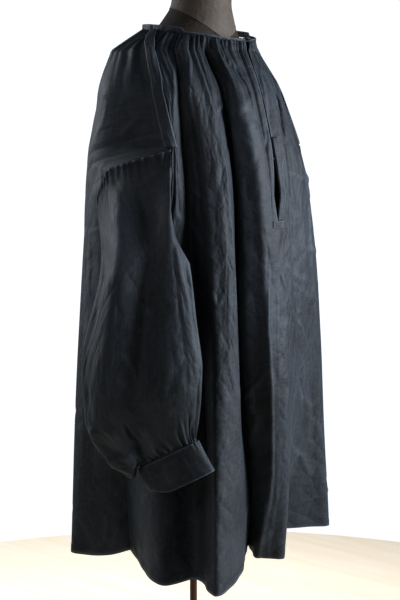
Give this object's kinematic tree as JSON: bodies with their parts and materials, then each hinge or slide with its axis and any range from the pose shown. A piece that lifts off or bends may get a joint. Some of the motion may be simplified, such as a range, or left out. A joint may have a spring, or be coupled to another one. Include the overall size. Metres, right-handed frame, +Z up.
{
  "type": "smock frock on a limbless dress form",
  "caption": "Wide knee-length linen smock gathered at neck and cuffs, with a slit front, filled out on a plain dress form on a pole stand.",
  "frame": {"origin": "middle of the bounding box's underside, on the floor under the base", "axes": "+Z up, -Y the way the wearer's front faces, +X the wearer's left"},
  "size_m": [0.6636, 0.4534, 1.602],
  "materials": {
    "linen": "matt dark blue-black linen with a slight calendered sheen",
    "form_cover": "matt grey-brown cover cloth",
    "pole_metal": "satin brown paint"
  },
  "bodies": {
    "root": {"neckband": "linen", "front_panel": "linen", "back_panel": "linen", "shoulder_strip_right": "linen", "shoulder_strip_left": "linen", "placket_strip": "linen", "sleeve_right": "linen", "cuff_right": "linen", "sleeve_left": "linen", "cuff_left": "linen", "dress_form": "form_cover", "stand_pole": "pole_metal", "stand_base": "pole_metal"}
  },
  "joints": []
}
